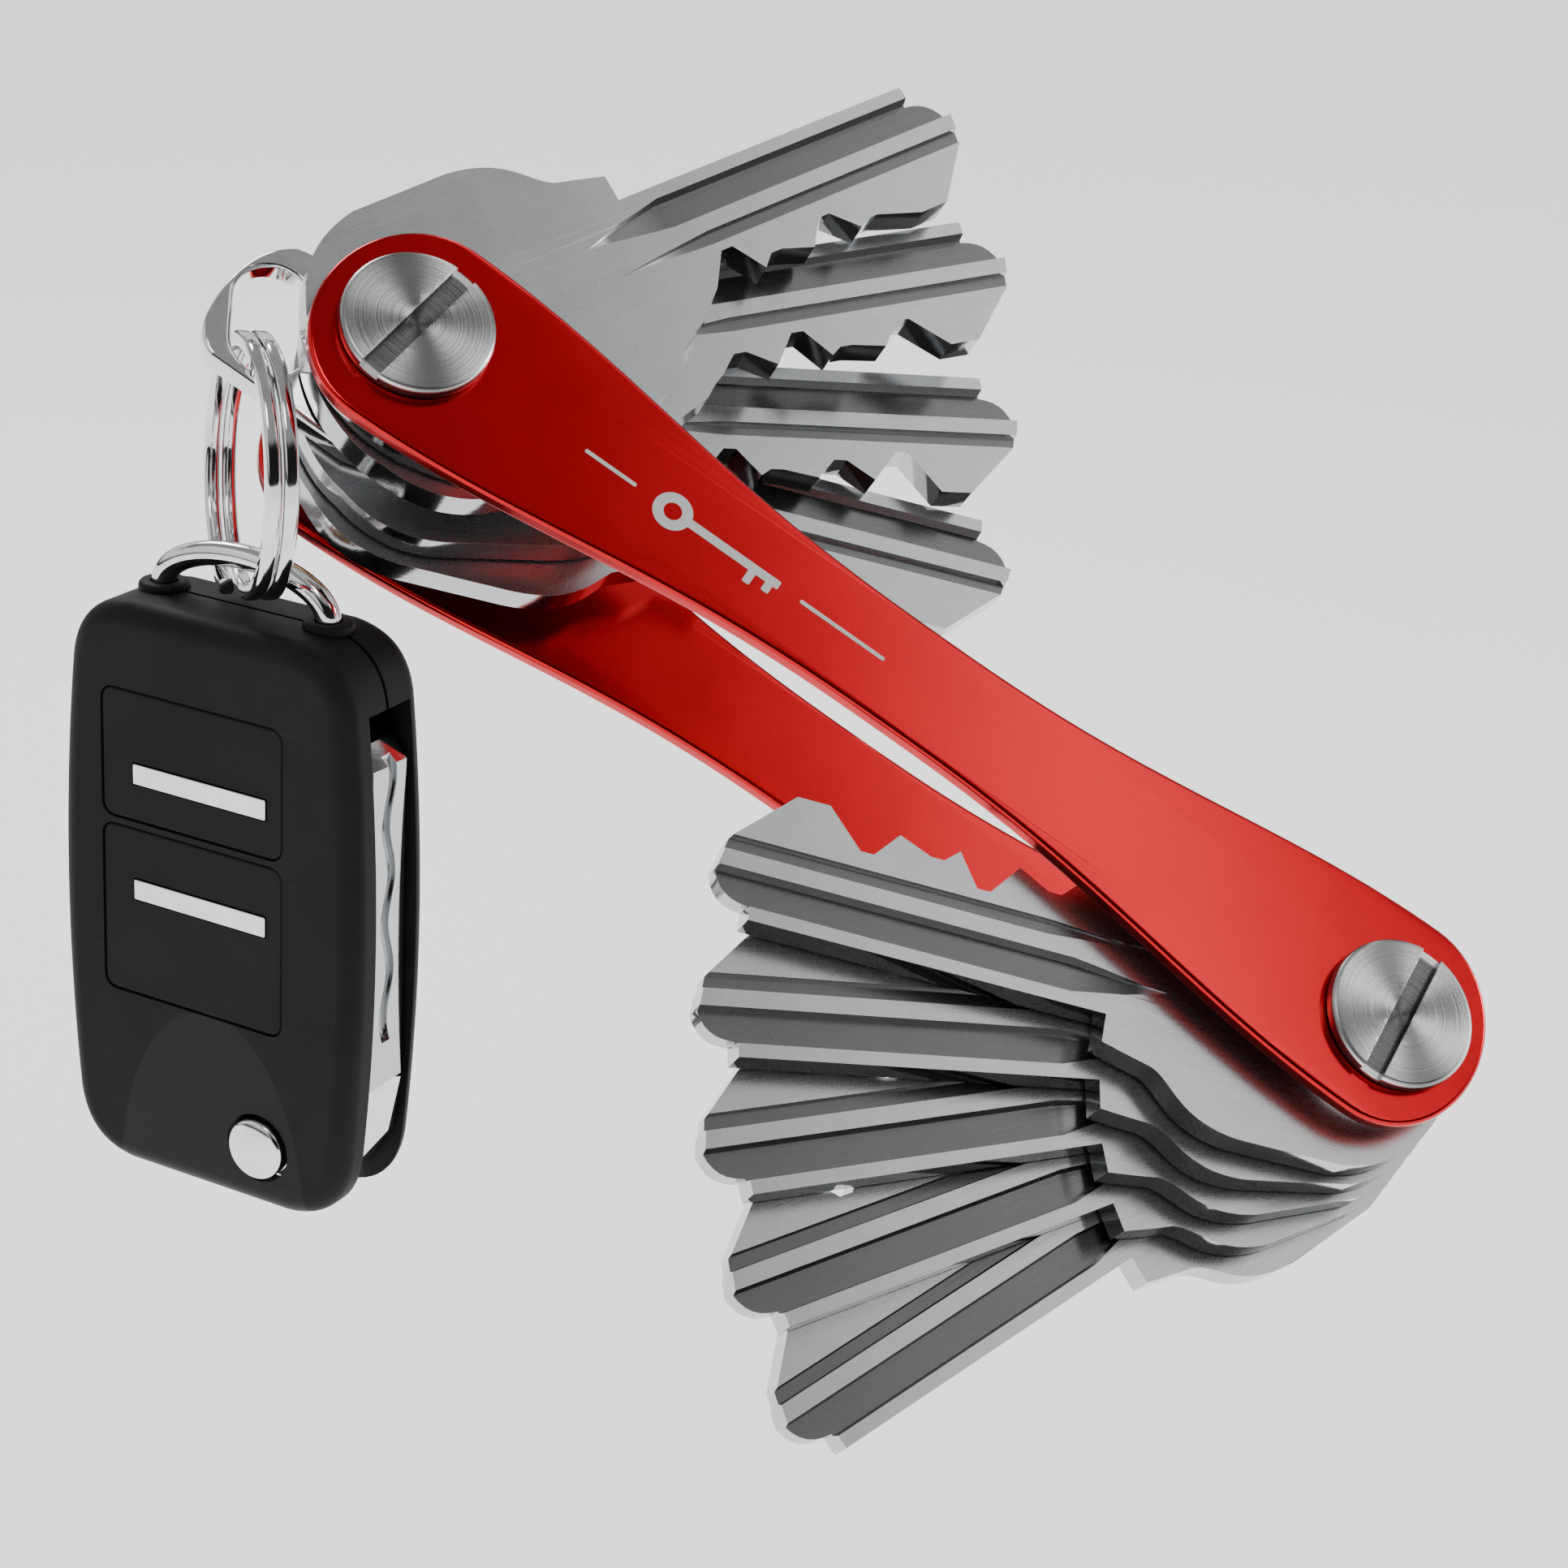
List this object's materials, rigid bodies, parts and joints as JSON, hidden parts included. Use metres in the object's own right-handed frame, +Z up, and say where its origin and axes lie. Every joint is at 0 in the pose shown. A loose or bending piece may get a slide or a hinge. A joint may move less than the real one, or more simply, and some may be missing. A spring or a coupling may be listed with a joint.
{
  "type": "key organiser",
  "caption": "Compact key organiser: two waisted red plates on screw posts, folding keys fanned out, a ring plate, a split ring and a hanging flip-key fob.",
  "frame": {"origin": "middle of the back plate's outer face, where a hand grips the organiser by its waist", "axes": "+Z up as the fob hangs, +X level and towards post B, the front face looks towards -Y and upwards"},
  "size_m": [0.0813, 0.06, 0.0745],
  "materials": {
    "red_plate": "satin red anodised",
    "turned_steel": "turned, with fine circular grain",
    "brass": "satin",
    "key_nickel": "satin nickel plate",
    "chrome": "polished",
    "soft_black": "soft-touch matt black",
    "button_black": "matt black rubber",
    "board": "green solder mask"
  },
  "bodies": {
    "organiser": {"front_plate": "red_plate", "back_plate": "red_plate", "screw_a": "turned_steel", "screw_b": "turned_steel", "barrel_a": "turned_steel", "barrel_b": "turned_steel", "washer_a": "brass", "washer_b_front": "turned_steel", "washer_b_back": "turned_steel"},
    "key_a1": {"key_a1": "key_nickel"},
    "key_a2": {"key_a2": "key_nickel"},
    "key_a3": {"key_a3": "key_nickel"},
    "key_a4": {"key_a4": "key_nickel"},
    "key_b1": {"key_b1": "key_nickel"},
    "key_b2": {"key_b2": "key_nickel"},
    "key_b3": {"key_b3": "key_nickel"},
    "key_b4": {"key_b4": "key_nickel"},
    "key_b5": {"key_b5": "key_nickel"},
    "ring_plate": {"ring_plate": "chrome"},
    "split_ring": {"split_ring": "chrome"},
    "fob": {"fob_front_shell": "soft_black", "fob_back_shell": "soft_black", "fob_bail": "chrome", "pivot_pin": "turned_steel", "flip_spring": "turned_steel", "housing_screw": "turned_steel", "coin_cell": "turned_steel", "circuit_board": "board"},
    "flip_key": {"flip_blade": "key_nickel", "blade_hub": "chrome"},
    "lock_button": {"lock_button": "button_black", "lock_bar": "chrome"},
    "unlock_button": {"unlock_button": "button_black", "unlock_bar": "chrome"},
    "release_button": {"release_button": "chrome"}
  },
  "joints": [
    {"name": "key_a1_fold", "type": "hinge", "parent": "organiser", "child": "key_a1", "pos_m": [-0.02747, 0.00711, 0.02934], "axis": [0, -0.729, 0.6845], "range_deg": [-54, 56]},
    {"name": "key_a2_fold", "type": "hinge", "parent": "organiser", "child": "key_a2", "pos_m": [-0.02747, 0.00893, 0.02763], "axis": [0, -0.729, 0.6845], "range_deg": [-40.8, 27.2]},
    {"name": "key_a3_fold", "type": "hinge", "parent": "organiser", "child": "key_a3", "pos_m": [-0.02747, 0.01229, 0.02448], "axis": [0, -0.729, 0.6845], "range_deg": [-27.6, 40.4]},
    {"name": "key_a4_fold", "type": "hinge", "parent": "organiser", "child": "key_a4", "pos_m": [-0.02747, 0.01411, 0.02277], "axis": [0, -0.729, 0.6845], "range_deg": [-14.4, 53.6]},
    {"name": "key_b1_fold", "type": "hinge", "parent": "organiser", "child": "key_b1", "pos_m": [0.02747, -0.02789, -0.00983], "axis": [0, -0.729, 0.6845], "range_deg": [-12, 166]},
    {"name": "key_b2_fold", "type": "hinge", "parent": "organiser", "child": "key_b2", "pos_m": [0.02747, -0.02606, -0.01154], "axis": [0, -0.729, 0.6845], "range_deg": [-22.75, 155.25]},
    {"name": "key_b3_fold", "type": "hinge", "parent": "organiser", "child": "key_b3", "pos_m": [0.02747, -0.02424, -0.01325], "axis": [0, -0.729, 0.6845], "range_deg": [-33.5, 144.5]},
    {"name": "key_b4_fold", "type": "hinge", "parent": "organiser", "child": "key_b4", "pos_m": [0.02747, -0.02242, -0.01496], "axis": [0, -0.729, 0.6845], "range_deg": [-44.25, 133.75]},
    {"name": "key_b5_fold", "type": "hinge", "parent": "organiser", "child": "key_b5", "pos_m": [0.02747, -0.0206, -0.01667], "axis": [0, -0.729, 0.6845], "range_deg": [-55, 123]},
    {"name": "ring_plate_turn", "type": "hinge", "parent": "organiser", "child": "ring_plate", "pos_m": [-0.02747, 0.01061, 0.02605], "axis": [0, -0.729, 0.6845], "range_deg": [-15, 5]},
    {"name": "ring_swing", "type": "hinge", "parent": "ring_plate", "child": "split_ring", "pos_m": [-0.03558, 0.01307, 0.02868], "axis": [0.9976, -0.0478, -0.0509], "range_deg": [-10, 3]},
    {"name": "fob_swing", "type": "hinge", "parent": "split_ring", "child": "fob", "pos_m": [-0.03631, 0.01309, 0.0143], "axis": [0.6225, -0.7826, 0], "range_deg": [-15, 15]},
    {"name": "blade_flip", "type": "hinge", "parent": "fob", "child": "flip_key", "pos_m": [-0.03336, 0.00969, -0.02591], "axis": [0.7826, 0.6225, 0], "range_deg": [0, 180]},
    {"name": "lock_press", "type": "slide", "parent": "fob", "child": "lock_button", "axis": [0.7826, 0.6225, 0], "range_m": [0, 0.0003], "stiffness_N_per_m": 300, "springref_m": -0.0005},
    {"name": "unlock_press", "type": "slide", "parent": "fob", "child": "unlock_button", "axis": [0.7826, 0.6225, 0], "range_m": [0, 0.0003], "stiffness_N_per_m": 300, "springref_m": -0.0005},
    {"name": "release_press", "type": "slide", "parent": "fob", "child": "release_button", "axis": [0.7826, 0.6225, 0], "range_m": [0, 0.0008], "stiffness_N_per_m": 300, "springref_m": -0.0005}
  ]
}
